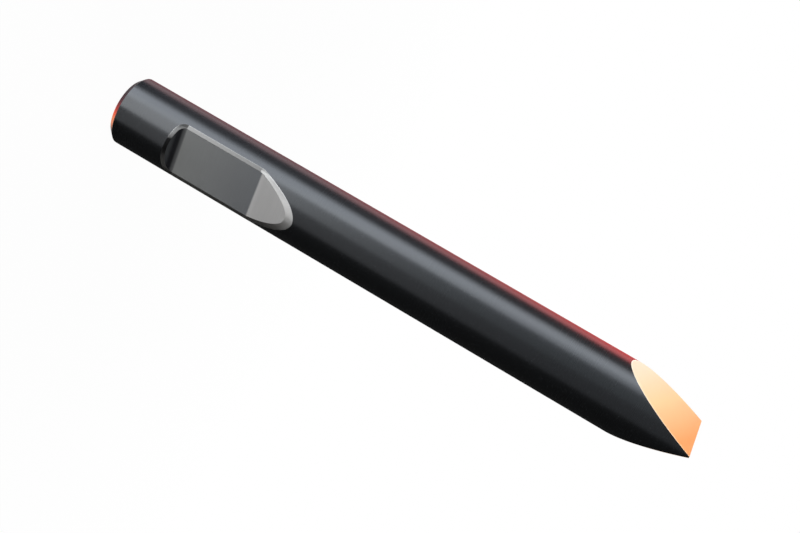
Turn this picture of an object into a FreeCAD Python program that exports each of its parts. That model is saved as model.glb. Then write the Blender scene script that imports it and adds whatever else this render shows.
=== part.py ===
import FreeCAD, Part

import math
import os

import Sketcher

# Hydraulic breaker chisel: one forged and turned steel bar that stands on its striking face, z = 0,
# with its axis on +Z and its blade at the top. The retaining notch faces -Y, and the blade's edge
# runs along Y, so that the two wedge flats face +X and -X. Lengths are millimetres, angles degrees.

DRIVING_DIMENSIONS = (
    # the bar
    ("bar_diameter", 135.0, "diameter of the shank that runs in the guide bushes"),
    ("overall_length", 1185.0, "striking face to blade edge"),
    ("head_chamfer_length", 11.0, "chamfer of the striking end, along the axis"),
    ("head_chamfer_depth", 10.5, "chamfer of the striking end, across the axis"),
    # the retaining notch
    ("flat_height", 44.8, "axis of the bar to the retaining flat"),
    ("flat_start", 140.5, "striking face to where the stop wall's root radius meets the flat"),
    ("flat_end", 299.0, "striking face to where the run-out's root radius leaves the flat"),
    ("wall_lean", 20.0, "lean of the stop wall from square to the axis"),
    ("wall_root_radius", 15.0, "root radius between stop wall and flat"),
    ("runout_angle", 15.0, "slope of the run-out from the flat"),
    ("runout_root_radius", 26.0, "root radius between flat and run-out"),
    ("rim_chamfer", 5.0, "set-back of the chamfer round the rim of the notch"),
    # the blade
    ("blade_half_angle", 22.5, "slope of each wedge flat from the axis"),
    ("blade_thickness", 4.0, "blunt edge of the blade, across the flats"),
    # the room that a cutting profile takes outside the bar
    ("cutter_overrun", 8.0, "reach of the cutting profiles beyond the bar's surface"),
)

# ends of a sketch edge, and the sketch's own origin, as the constraints number them
START, END = 1, 2
ORIGIN = (-1, 1)

TOLERANCE = 1e-3


def make_sheet(document):
    """Spreadsheet with one driving dimension a row: its name, its value under that alias, and what it is."""
    sheet = document.addObject("Spreadsheet::Sheet", "Sizes")
    for row, (alias, value, note) in enumerate(DRIVING_DIMENSIONS, start=1):
        sheet.set(f"A{row}", alias)
        sheet.set(f"B{row}", str(value))
        sheet.set(f"C{row}", note)
        sheet.setAlias(f"B{row}", alias)
    document.recompute()
    return sheet


def origin_plane(body, role):
    """Origin plane of a body, by its role."""
    return next(feature for feature in body.Origin.OriginFeatures if feature.Role == role)


def make_sketch(body, name, role):
    """Empty sketch on one of the body's own origin planes."""
    sketch = body.newObject("Sketcher::SketchObject", name)
    sketch.AttachmentSupport = [(origin_plane(body, role), "")]
    sketch.MapMode = "FlatFace"
    return sketch


def point(across, up):
    """Point of a sketch."""
    return FreeCAD.Vector(across, up, 0)


def add_line(sketch, start, end):
    """Straight edge; returns its number."""
    return sketch.addGeometry(Part.LineSegment(start, end), False)


def add_arc(sketch, centre, radius, first_angle, last_angle):
    """Arc that runs anticlockwise between two angles in degrees; returns its number."""
    circle = Part.Circle(centre, FreeCAD.Vector(0, 0, 1), radius)
    arc = Part.ArcOfCircle(circle, math.radians(first_angle), math.radians(last_angle))
    return sketch.addGeometry(arc, False)


def join(sketch, edges, kinds):
    """Joins each edge's end to the start of the next, round to the first, by the kind of joint named."""
    for edge, following, kind in zip(edges, edges[1:] + edges[:1], kinds):
        sketch.addConstraint(Sketcher.Constraint(kind, edge, END, following, START))


def set_direction(sketch, kind, *edges):
    """Makes straight edges Horizontal or Vertical."""
    for edge in edges:
        sketch.addConstraint(Sketcher.Constraint(kind, edge))


def bind(sketch, name, expression, kind, *references):
    """Adds a named dimension between the references and ties its value to the sheet."""
    number = sketch.addConstraint(Sketcher.Constraint(kind, *references))
    sketch.renameConstraint(number, name)
    sketch.setExpression(f"Constraints.{name}", expression)


def turn_bar(body, size):
    """Bar with its chamfered striking end: half a section in the XZ plane, turned round the axis."""
    sketch = make_sketch(body, "bar_section", "XZ_Plane")
    radius = size["bar_diameter"] / 2
    depth, rise = size["head_chamfer_depth"], size["head_chamfer_length"]
    corners = [
        point(0, 0),
        point(radius - depth, 0),
        point(radius, rise),
        point(radius, size["overall_length"]),
        point(0, size["overall_length"]),
    ]
    edges = [add_line(sketch, start, end) for start, end in zip(corners, corners[1:] + corners[:1])]
    face, chamfer, side, top, centre = edges
    join(sketch, edges, ["Coincident"] * len(edges))
    sketch.addConstraint(Sketcher.Constraint("Coincident", face, START, *ORIGIN))
    set_direction(sketch, "Horizontal", face, top)
    set_direction(sketch, "Vertical", side, centre)
    bind(sketch, "radius", "Sizes.bar_diameter / 2", "DistanceX", *ORIGIN, side, START, radius)
    bind(sketch, "length", "Sizes.overall_length", "DistanceY", *ORIGIN, top, END, size["overall_length"])
    bind(sketch, "chamfer_depth", "Sizes.head_chamfer_depth", "DistanceX", chamfer, START, chamfer, END, depth)
    bind(sketch, "chamfer_rise", "Sizes.head_chamfer_length", "DistanceY", chamfer, START, chamfer, END, rise)
    bar = body.newObject("PartDesign::Revolution", "turned_bar")
    bar.Profile = sketch
    bar.ReferenceAxis = (sketch, ["V_Axis"])
    bar.Angle = 360.0
    return bar


def cut_through(body, name, sketch):
    """Pocket that carries a profile right through the bar, both ways from its plane."""
    pocket = body.newObject("PartDesign::Pocket", name)
    pocket.Profile = sketch
    pocket.Type = "ThroughAll"
    pocket.SideType = "Symmetric"
    return pocket


def mill_notch(body, size):
    """Retaining notch: stop wall, root radius, flat, root radius and run-out, drawn in the YZ plane."""
    sketch = make_sketch(body, "notch_profile", "YZ_Plane")
    outside = size["bar_diameter"] / 2 + size["cutter_overrun"]
    flat, first, last = size["flat_height"], size["flat_start"], size["flat_end"]
    lean, slope = size["wall_lean"], size["runout_angle"]
    root, sweep = size["wall_root_radius"], size["runout_root_radius"]
    wall_foot = point(
        -flat - root * (1 - math.sin(math.radians(lean))),
        first - root * math.cos(math.radians(lean)),
    )
    wall_top = point(-outside, wall_foot.y - (outside + wall_foot.x) * math.tan(math.radians(lean)))
    ramp_foot = point(
        -flat - sweep * (1 - math.cos(math.radians(slope))),
        last + sweep * math.sin(math.radians(slope)),
    )
    ramp_top = point(-outside, ramp_foot.y + (outside + ramp_foot.x) / math.tan(math.radians(slope)))

    wall = add_line(sketch, wall_top, wall_foot)
    wall_root = add_arc(sketch, point(-flat - root, first), root, lean - 90, 0)
    floor = add_line(sketch, point(-flat, first), point(-flat, last))
    ramp_root = add_arc(sketch, point(-flat - sweep, last), sweep, 0, slope)
    ramp = add_line(sketch, ramp_foot, ramp_top)
    closing = add_line(sketch, ramp_top, wall_top)
    edges = [wall, wall_root, floor, ramp_root, ramp, closing]
    join(sketch, edges, ["Tangent"] * 4 + ["Coincident"] * 2)
    set_direction(sketch, "Vertical", floor, closing)
    bind(sketch, "flat_height", "Sizes.flat_height", "DistanceX", floor, START, *ORIGIN, flat)
    bind(sketch, "flat_start", "Sizes.flat_start", "DistanceY", *ORIGIN, floor, START, first)
    bind(sketch, "flat_end", "Sizes.flat_end", "DistanceY", *ORIGIN, floor, END, last)
    bind(sketch, "wall_root", "Sizes.wall_root_radius", "Radius", wall_root, root)
    bind(sketch, "ramp_root", "Sizes.runout_root_radius", "Radius", ramp_root, sweep)
    bind(sketch, "wall_lean", "Sizes.wall_lean", "Angle", wall, math.radians(lean))
    bind(sketch, "ramp_slope", "90 + Sizes.runout_angle", "Angle", ramp, math.radians(90 + slope))
    reach = "Sizes.bar_diameter / 2 + Sizes.cutter_overrun"
    bind(sketch, "reach", reach, "DistanceX", closing, START, *ORIGIN, outside)
    return cut_through(body, "retaining_notch", sketch)


def rim_edges(notch, size):
    """Names of the edges where the notch breaks the bar's round surface, all the way round."""
    radius = size["bar_diameter"] / 2
    names = []
    for number, edge in enumerate(notch.Shape.Edges, start=1):
        places = edge.discretize(9)
        on_bar = all(abs(math.hypot(place.x, place.y) - radius) < TOLERANCE for place in places)
        inside = all(0 < place.z - size["head_chamfer_length"] for place in places)
        in_front = all(place.y < -TOLERANCE for place in places)
        below_top = all(place.z < size["overall_length"] - TOLERANCE for place in places)
        if on_bar and inside and in_front and below_top:
            names.append(f"Edge{number}")
    return names


def chamfer_rim(body, notch, size):
    """Chamfer round the whole rim of the notch."""
    chamfer = body.newObject("PartDesign::Chamfer", "notch_rim_chamfer")
    chamfer.Base = (notch, rim_edges(notch, size))
    chamfer.setExpression("Size", "Sizes.rim_chamfer")
    return chamfer


def grind_blade(body, size):
    """Wedge point: one flat cut from a triangle in the XZ plane, and its mirror image across the axis."""
    sketch = make_sketch(body, "blade_profile", "XZ_Plane")
    outside = size["bar_diameter"] / 2 + size["cutter_overrun"]
    edge, tip = size["blade_thickness"] / 2, size["overall_length"]
    slope = size["blade_half_angle"]
    shoulder = tip - (outside - edge) / math.tan(math.radians(slope))
    corners = [point(edge, tip), point(outside, tip), point(outside, shoulder)]
    edges = [add_line(sketch, start, end) for start, end in zip(corners, corners[1:] + corners[:1])]
    top, side, flat = edges
    join(sketch, edges, ["Coincident"] * len(edges))
    set_direction(sketch, "Horizontal", top)
    set_direction(sketch, "Vertical", side)
    bind(sketch, "half_edge", "Sizes.blade_thickness / 2", "DistanceX", *ORIGIN, top, START, edge)
    bind(sketch, "tip", "Sizes.overall_length", "DistanceY", *ORIGIN, top, START, tip)
    bind(sketch, "slope", "90 + Sizes.blade_half_angle", "Angle", flat, math.radians(90 + slope))
    reach = "Sizes.bar_diameter / 2 + Sizes.cutter_overrun"
    bind(sketch, "reach", reach, "DistanceX", *ORIGIN, side, START, outside)
    flat_cut = cut_through(body, "blade_flat", sketch)
    mirrored = body.newObject("PartDesign::Mirrored", "opposite_blade_flat")
    mirrored.Originals = [flat_cut]
    mirrored.MirrorPlane = (origin_plane(body, "YZ_Plane"), [""])
    body.Tip = mirrored
    return mirrored


def check_document(document):
    """Stops at any object that failed to compute."""
    for item in document.Objects:
        if "Invalid" in item.State or "Error" in item.State:
            raise RuntimeError(f"{item.Name} did not compute: {item.State}")


def check_cut(before, after, name):
    """Stops where a cut has taken nothing away."""
    if not after.Shape.Volume < before.Shape.Volume - 1:
        raise RuntimeError(f"{name} cut nothing")
    print(f"{name}: {(before.Shape.Volume - after.Shape.Volume) / 1000:.1f} cm3 removed")


def make_chisel(document, size):
    """Chisel body: turned bar, retaining notch, chamfered rim and wedge point."""
    body = document.addObject("PartDesign::Body", "breaker_chisel")
    body.Label = "breaker_chisel"
    body.Placement = FreeCAD.Placement()
    bar = turn_bar(body, size)
    document.recompute()
    notch = mill_notch(body, size)
    document.recompute()
    check_cut(bar, notch, "retaining notch")
    rim = chamfer_rim(body, notch, size)
    document.recompute()
    check_cut(notch, rim, "rim chamfer")
    blade = grind_blade(body, size)
    document.recompute()
    check_cut(rim, blade, "blade flats")
    return body


def main():
    """Builds the document, checks it and writes one STEP file for the one piece."""
    document = FreeCAD.newDocument("hydraulic_breaker_tool")
    sheet = make_sheet(document)
    size = {alias: float(getattr(sheet, alias)) for alias, _, _ in DRIVING_DIMENSIONS}
    chisel = make_chisel(document, size)
    check_document(document)
    shape = chisel.Shape
    if shape.isNull() or not shape.isValid() or len(shape.Solids) != 1:
        raise RuntimeError("the chisel is not one valid solid")
    box = shape.BoundBox
    print(f"box {box.XMin:.2f} {box.XMax:.2f} {box.YMin:.2f} {box.YMax:.2f} {box.ZMin:.2f} {box.ZMax:.2f}")
    print(f"volume {shape.Volume / 1e6:.3f} litres, {len(shape.Faces)} faces")
    os.makedirs("parts", exist_ok=True)
    shape.exportStep(os.path.join("parts", f"{chisel.Label}.step"))


main()
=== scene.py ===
import logging
import math
from dataclasses import dataclass, fields
from enum import Enum, IntEnum
from functools import partial
from types import SimpleNamespace
from typing import Any, Callable

import bmesh
import bpy
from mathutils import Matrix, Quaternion, Vector


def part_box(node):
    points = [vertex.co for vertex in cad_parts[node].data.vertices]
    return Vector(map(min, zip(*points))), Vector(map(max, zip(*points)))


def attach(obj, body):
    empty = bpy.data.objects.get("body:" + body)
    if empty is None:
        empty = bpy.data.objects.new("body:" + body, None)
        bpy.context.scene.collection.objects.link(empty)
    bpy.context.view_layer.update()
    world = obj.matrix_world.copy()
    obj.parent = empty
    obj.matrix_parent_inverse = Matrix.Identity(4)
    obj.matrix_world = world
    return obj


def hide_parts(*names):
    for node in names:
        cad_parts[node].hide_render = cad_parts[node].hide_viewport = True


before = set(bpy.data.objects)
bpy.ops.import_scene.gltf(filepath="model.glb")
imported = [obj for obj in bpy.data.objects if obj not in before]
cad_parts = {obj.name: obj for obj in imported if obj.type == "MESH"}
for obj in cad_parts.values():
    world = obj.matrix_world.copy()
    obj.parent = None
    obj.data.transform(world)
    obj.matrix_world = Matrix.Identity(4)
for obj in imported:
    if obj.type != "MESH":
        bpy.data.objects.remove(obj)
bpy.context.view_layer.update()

NODE = "breaker_chisel"
BODY = "root"
FINISH_ATTRIBUTE = "finish"
HALF_TURN = math.pi
QUARTER_TURN = math.pi / 2

# distance under which two points of the surface become one, and the turn past which an edge stays sharp
WELD = 5e-6
SHARP_TURN = math.radians(50.0)

# cells round the bar: wide and narrow ones in a quarter of it, and all of them in half of it
QUARTER_CELLS = 64
CORNER_CELLS = 2
COLUMNS = 2 * (QUARTER_CELLS + CORNER_CELLS)

# cells across the narrow strips, half the notch's floor and a wedge flat
EDGE_CELLS = 3
CHAMFER_CELLS = 4
FLOOR_CELLS = 24
WEDGE_CELLS = 32

# rows of cells along each stretch
FACE_ROWS = 12
HEAD_ROWS = 16
WALL_ROWS = 48
FLAT_ROWS = 12
RUNOUT_ROWS = 72
MIDDLE_ROWS = 40
BLADE_ROWS = 24

# powers of the share along a rim: how the notch's chamfer widens towards an apex, and how the wedge's
# rounding stops short of the blade's edge
APEX_POWER = 3.0
EDGE_POWER = 8.0

# nominal sizes that tints, painted light and shade, and the cards' reflections follow, in metres
BAR_RADIUS = 0.0675
WEDGE_FOOT = 1.03
BAR_END = 1.185

# level directions from the bar: towards the camera, and square to it towards -X
TO_CAMERA = Vector((-0.468, -0.884, 0.0))
BESIDE_CAMERA = Vector((-0.884, 0.468, 0.0))

log = logging.getLogger(NODE)


class Finish(IntEnum):
    """Surface finishes of the chisel, in the order of its material slots."""

    LACQUER = 0
    FLAT = 1
    RUNOUT = 2
    STOP_WALL = 3
    RIM = 4
    WALL_RIM = 5
    RUNOUT_RIM = 6
    BLADE = 7
    BLADE_RIM = 8
    HEAD_CHAMFER = 9
    STRIKING_FACE = 10


class Value:
    """One socket of a node tree, which takes part in Python arithmetic."""

    def __init__(self, graph: "Graph", socket: bpy.types.NodeSocket) -> None:
        """Wraps an output socket of the graph."""
        self.graph = graph
        self.socket = socket

    def out(self, name: str | int) -> "Value":
        """Another output of the same node."""
        return Value(self.graph, self.socket.node.outputs[name])

    def __add__(self, other: "Number") -> "Value":
        """Sum."""
        return self.graph.math("ADD", self, other)

    def __radd__(self, other: "Number") -> "Value":
        """Sum, with the number first."""
        return self.graph.math("ADD", other, self)

    def __sub__(self, other: "Number") -> "Value":
        """Difference."""
        return self.graph.math("SUBTRACT", self, other)

    def __rsub__(self, other: "Number") -> "Value":
        """Difference, with the number first."""
        return self.graph.math("SUBTRACT", other, self)

    def __mul__(self, other: "Number") -> "Value":
        """Product."""
        return self.graph.math("MULTIPLY", self, other)

    def __rmul__(self, other: "Number") -> "Value":
        """Product, with the number first."""
        return self.graph.math("MULTIPLY", other, self)

    def __truediv__(self, other: "Number") -> "Value":
        """Quotient."""
        return self.graph.math("DIVIDE", self, other)

    def __rtruediv__(self, other: "Number") -> "Value":
        """Quotient, with the number first."""
        return self.graph.math("DIVIDE", other, self)

    def __neg__(self) -> "Value":
        """Opposite."""
        return self.graph.math("MULTIPLY", self, -1.0)


Number = Value | float | int
Colour = tuple[float, float, float]
Stops = tuple[tuple[float, Colour], ...]
Section = Callable[[Value], Value]
SideSection = Callable[[Value, Value], tuple[Number, Number]]


class Graph:
    """Writes nodes into a shader tree or a geometry tree."""

    def __init__(self, tree: bpy.types.NodeTree) -> None:
        """Starts on an empty tree.

        Args:
            tree: Node tree to write into.
        """
        self.tree = tree
        self.known: dict[tuple, Value] = {}
        tree.nodes.clear()

    def feed(self, socket: bpy.types.NodeSocket, value: Any) -> None:
        """Links a value to an input socket, or writes a plain number, colour or name on it.

        Args:
            socket: Input socket.
            value: Value, or plain number, colour or name.
        """
        if isinstance(value, Value):
            self.tree.links.new(value.socket, socket)
        else:
            socket.default_value = value

    def node(
        self,
        kind: str,
        settings: dict[str, Any] | None = None,
        inputs: dict[str | int, Any] | None = None,
        output: str | int = 0,
    ) -> Value:
        """Adds one node.

        Args:
            kind: Node type.
            settings: The node's own properties, set first; stops holds a ramp's positions and colours.
            inputs: Values or links of its input sockets, by name or number.
            output: Output socket that is wanted.

        Returns:
            The wanted output.
        """
        made = self.tree.nodes.new(kind)
        for name, value in (settings or {}).items():
            if name == "stops":
                self.set_stops(made.color_ramp, value)
            else:
                setattr(made, name, value)
        for key, value in (inputs or {}).items():
            self.feed(made.inputs[key], value)
        return Value(self, made.outputs[output])

    def sink(self, kind: str, value: Value) -> None:
        """Adds an output node and feeds its first socket."""
        self.feed(self.tree.nodes.new(kind).inputs[0], value)

    def set_stops(self, ramp: bpy.types.ColorRamp, stops: Stops) -> None:
        """Gives a colour ramp its positions and colours.

        Args:
            ramp: Colour ramp.
            stops: Positions and colours.
        """
        while len(ramp.elements) < len(stops):
            ramp.elements.new(1.0)
        for element, (position, colour) in zip(ramp.elements, stops):
            element.position = position
            element.color = (*colour, 1.0)

    def math(self, operation: str, *terms: Number, clamp: bool = False) -> Value:
        """Math node on one to three terms."""
        settings = {"operation": operation, "use_clamp": clamp}
        return self.once("ShaderNodeMath", settings, terms)

    def vector(self, operation: str, *terms: Any, output: int = 0) -> Value:
        """Vector Math node on one to three terms."""
        return self.once("ShaderNodeVectorMath", {"operation": operation}, terms, output)

    def once(self, kind: str, settings: dict[str, Any], terms: tuple, output: int = 0) -> Value:
        """Adds a node on these terms, or finds the same one again.

        Args:
            kind: Node type.
            settings: The node's own properties.
            terms: Its inputs in order.
            output: Number of the output that is wanted.

        Returns:
            The wanted output.
        """
        names = tuple(
            (term.socket.node.name, term.socket.identifier) if isinstance(term, Value) else term
            for term in terms
        )
        key = (kind, tuple(settings.values()), names, output)
        if key not in self.known:
            self.known[key] = self.node(kind, settings, dict(enumerate(terms)), output)
        return self.known[key]

    def mix(self, first: Number, last: Number, share: Number) -> Value:
        """Number that goes from first to last as share goes from 0 to 1."""
        return self.math("MULTIPLY_ADD", last - first, share, first)

    def point(self, x: Number, y: Number, z: Number) -> Value:
        """Vector with three components."""
        return self.once("ShaderNodeCombineXYZ", {}, (x, y, z))

    def parts(self, vector: Value) -> tuple[Value, Value, Value]:
        """Components of a vector."""
        first = self.once("ShaderNodeSeparateXYZ", {}, (vector,))
        return first, first.out(1), first.out(2)


@dataclass(frozen=True)
class Patch:
    """Cells of one patch of the surface, and the finish it carries."""

    columns: int
    rows: int
    finish: Finish


class SurfaceTree(Graph):
    """Geometry Nodes tree that lays rectangular patches on formulas, mirrors them and welds them."""

    def __init__(self, name: str) -> None:
        """Starts the tree with its geometry output and with u and v, the fields of a patch's own grid.

        Args:
            name: Name of the tree.
        """
        super().__init__(bpy.data.node_groups.new(name, "GeometryNodeTree"))
        self.tree.interface.new_socket("Geometry", in_out="OUTPUT", socket_type="NodeSocketGeometry")
        self.given: dict[str, Any] = {}
        self.group_input = self.tree.nodes.new("NodeGroupInput")
        self.patches: list[Value] = []
        across, up, _ = self.parts(self.node("GeometryNodeInputPosition"))
        self.u = across + 0.5
        self.v = up + 0.5

    def input(self, name: str, kind: str, value: Any) -> Value:
        """Adds a named input of the tree and remembers what its modifier is given.

        Args:
            name: Name that the modifier shows.
            kind: Socket type.
            value: What the modifier is given.

        Returns:
            The input's socket inside the tree.
        """
        socket = self.tree.interface.new_socket(name, in_out="INPUT", socket_type=kind)
        self.given[socket.identifier] = value
        return Value(self, self.group_input.outputs[name])

    def sizes(self, part: Any) -> SimpleNamespace:
        """Named inputs for the dataclass fields of a sub-assembly, as values under the fields' names.

        Args:
            part: Sub-assembly.

        Returns:
            The inputs' sockets, under the fields' names.
        """
        return SimpleNamespace(**{
            size.name: self.input(size.name.replace("_", " "), "NodeSocketFloat", getattr(part, size.name))
            for size in fields(part)
        })

    def lay(self, patch: Patch, place: Callable[[Value, Value], Value]) -> None:
        """Adds a patch; u runs round the bar from the notch's middle and v up it, so that it faces outwards.

        Args:
            patch: Cells and finish.
            place: Gives the point of the surface for u and v, each from 0 to 1.
        """
        grid = self.node("GeometryNodeMeshGrid", inputs={
            "Size X": 1.0, "Size Y": 1.0, "Vertices X": patch.columns + 1, "Vertices Y": patch.rows + 1,
        })
        placed = self.node("GeometryNodeSetPosition", inputs={
            "Geometry": grid, "Position": place(self.u, self.v),
        })
        self.patches.append(self.node(
            "GeometryNodeStoreNamedAttribute",
            {"data_type": "INT", "domain": "FACE"},
            {"Geometry": placed, "Name": FINISH_ATTRIBUTE, "Value": int(patch.finish)},
        ))

    def join(self, parts: list[Value]) -> Value:
        """Joins geometries into one.

        Args:
            parts: Geometries.

        Returns:
            The joined geometry.
        """
        joined = self.tree.nodes.new("GeometryNodeJoinGeometry")
        for part in parts:
            self.tree.links.new(part.socket, joined.inputs[0])
        return Value(self, joined.outputs[0])

    def mirrored(self, half: Value) -> Value:
        """The other half of the bar, across the plane x = 0.

        Args:
            half: Geometry of the half at +X.

        Returns:
            Its mirror image, with its faces turned outwards again.
        """
        flipped = self.vector("MULTIPLY", self.node("GeometryNodeInputPosition"), (-1.0, 1.0, 1.0))
        moved = self.node("GeometryNodeSetPosition", inputs={"Geometry": half, "Position": flipped})
        return self.node("GeometryNodeFlipFaces", inputs={0: moved})

    def close(self, weld: float, materials: dict[Finish, bpy.types.Material]) -> None:
        """Mirrors and welds the patches, and gives each face the material of its finish.

        Args:
            weld: Distance under which two points become one.
            materials: Material of each finish.
        """
        half = self.join(self.patches)
        whole = self.join([half, self.mirrored(half)])
        distance = self.input("weld distance", "NodeSocketFloat", weld)
        shape = self.node("GeometryNodeMergeByDistance", inputs={"Geometry": whole, "Distance": distance})
        shape = self.node("GeometryNodeRealizeInstances", inputs={0: shape})
        carried = self.node(
            "GeometryNodeInputNamedAttribute", {"data_type": "INT"}, {"Name": FINISH_ATTRIBUTE},
        )
        for finish, material in materials.items():
            here = self.node(
                "FunctionNodeCompare",
                {"data_type": "INT", "operation": "EQUAL"},
                {2: carried, 3: int(finish)},
            )
            given = self.input(f"{finish.name.lower()} material", "NodeSocketMaterial", material)
            shape = self.node(
                "GeometryNodeSetMaterial",
                inputs={"Geometry": shape, "Selection": here, "Material": given},
            )
        self.sink("NodeGroupOutput", shape)

    def mesh(self, name: str) -> bpy.types.Mesh:
        """Evaluates the tree and returns the result as a plain mesh.

        Args:
            name: Name of the mesh.

        Returns:
            Mesh without any modifier left on it.
        """
        carrier = bpy.data.objects.new(name, bpy.data.meshes.new(name))
        bpy.context.scene.collection.objects.link(carrier)
        modifier = carrier.modifiers.new(name, "NODES")
        modifier.node_group = self.tree
        for identifier, value in self.given.items():
            modifier[identifier] = value
        evaluated = carrier.evaluated_get(bpy.context.evaluated_depsgraph_get())
        mesh = bpy.data.meshes.new_from_object(evaluated)
        carrier.modifiers.remove(modifier)
        bpy.data.objects.remove(carrier)
        return mesh


class Formulas:
    """Curves and surfaces that the sub-assemblies share, written as fields of a surface tree.

    Columns run round half the bar from -Y to +Y. A few narrow ones lie at both ends, as wide as the
    blade's edge is thick, so that the blade's patches meet the bar's point by point.
    """

    def __init__(self, tree: SurfaceTree, size: SimpleNamespace) -> None:
        """Keeps the tree and the sizes.

        Args:
            tree: Tree that the patches go into.
            size: Sizes of all sub-assemblies.
        """
        self.tree = tree
        self.size = size
        self.blade_turn = tree.math("ARCCOSINE", size.thickness * 0.5 / size.radius)

    def sine(self, angle: Number) -> Value:
        """Sine."""
        return self.tree.math("SINE", angle)

    def cosine(self, angle: Number) -> Value:
        """Cosine."""
        return self.tree.math("COSINE", angle)

    def tangent(self, angle: Number) -> Value:
        """Tangent."""
        return self.tree.math("TANGENT", angle)

    def root_of(self, value: Number) -> Value:
        """Square root."""
        return self.tree.math("SQRT", value)

    def square(self, value: Number) -> Number:
        """Square."""
        return value * value

    def above_zero(self, value: Number) -> Value:
        """The value where it is positive, and elsewhere 0."""
        return self.tree.math("MAXIMUM", value, 0.0)

    def spread(self, u: Value) -> Value:
        """Angle round the bar at u, where the narrow columns lie first and last.

        Args:
            u: Share of the columns, from the notch's middle line to the back.

        Returns:
            The angle, from 0 to half a turn.
        """
        cells = u * COLUMNS
        narrow = QUARTER_TURN - self.blade_turn

        def passed(first: int, count: int) -> Value:
            """Share of a run of columns that lies before u."""
            return self.tree.math("MULTIPLY", cells - first, 1.0 / count, clamp=True)

        middle = CORNER_CELLS + QUARTER_CELLS
        ends = passed(0, CORNER_CELLS) + passed(COLUMNS - CORNER_CELLS, CORNER_CELLS)
        quarters = passed(CORNER_CELLS, QUARTER_CELLS) + passed(middle, QUARTER_CELLS)
        return narrow * ends + self.blade_turn * quarters

    def on_bar(self, angle: Number, height: Number) -> Value:
        """Point of the round surface; the angle is 0 on -Y, at the notch's middle, and grows towards +X."""
        return self.turned(self.size.radius, height, angle)

    def turned(self, distance: Number, height: Number, angle: Number) -> Value:
        """Point of a turned surface, from its distance from the axis and its height."""
        return self.tree.point(distance * self.sine(angle), -(distance * self.cosine(angle)), height)

    def line(self, first: Value, last: Value, share: Number) -> Value:
        """Point of a straight line."""
        shares = share if isinstance(share, Value) else (share, share, share)
        return self.tree.vector("MULTIPLY_ADD", self.tree.vector("SUBTRACT", last, first), shares, first)

    def bend(self, first: Value, corner: Value, last: Value, share: Number) -> Value:
        """Point of the curve that rounds a corner off between two points."""
        return self.line(self.line(first, corner, share), self.line(corner, last, share), share)

    def toward(self, start: Value, end: Value, distance: Number) -> Value:
        """Point at a distance from the start of a straight line."""
        gap = self.tree.vector("SUBTRACT", end, start)
        return self.line(start, end, distance / self.tree.vector("LENGTH", gap, output=1))


@dataclass
class Bar:
    """Turned round bar with its chamfered striking end."""

    radius: float
    length: float
    head_chamfer_length: float = 0.011
    head_chamfer_depth: float = 0.0105
    head_edge_break: float = 0.0009

    def lay_head(self, form: Formulas, top: Number) -> None:
        """Lays the striking face, the chamfer and the round stretch above it.

        Args:
            form: Shared formulas.
            top: Height at which the round stretch ends.
        """
        size = form.size
        tree = form.tree
        edge = size.head_edge_break
        inside = size.radius - size.head_chamfer_depth
        centre = tree.point(0.0, 0.0, 0.0)
        face_end = tree.point(inside - edge, 0.0, 0.0)
        face = tree.point(inside, 0.0, 0.0)
        side = tree.point(size.radius, 0.0, size.head_chamfer_length)
        side_start = tree.point(size.radius, 0.0, size.head_chamfer_length + edge)
        side_end = tree.point(size.radius, 0.0, top)
        cone_start = form.toward(face, side, edge)
        cone_end = form.toward(side, face, edge)

        def stretch(section: Section, u: Value, v: Value) -> Value:
            """Turns a section, whose X is the distance from the axis."""
            distance, _, height = tree.parts(section(v))
            return form.turned(distance, height, form.spread(u))

        stretches = (
            (FACE_ROWS, Finish.STRIKING_FACE, lambda v: form.line(centre, face_end, v)),
            (EDGE_CELLS, Finish.HEAD_CHAMFER, lambda v: form.bend(face_end, face, cone_start, v)),
            (CHAMFER_CELLS, Finish.HEAD_CHAMFER, lambda v: form.line(cone_start, cone_end, v)),
            (EDGE_CELLS, Finish.LACQUER, lambda v: form.bend(cone_end, side, side_start, v)),
            (HEAD_ROWS, Finish.LACQUER, lambda v: form.line(side_start, side_end, v)),
        )
        for rows, finish, section in stretches:
            tree.lay(Patch(COLUMNS, rows, finish), partial(stretch, section))

    def lay_middle(self, form: Formulas, bottom: Number, top: Number) -> None:
        """Lays the round stretch between notch and blade.

        Args:
            form: Shared formulas.
            bottom: Height at which it starts.
            top: Height at which it ends.
        """
        form.tree.lay(
            Patch(COLUMNS, MIDDLE_ROWS, Finish.LACQUER),
            lambda u, v: form.on_bar(form.spread(u), form.tree.mix(bottom, top, v)),
        )


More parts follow.
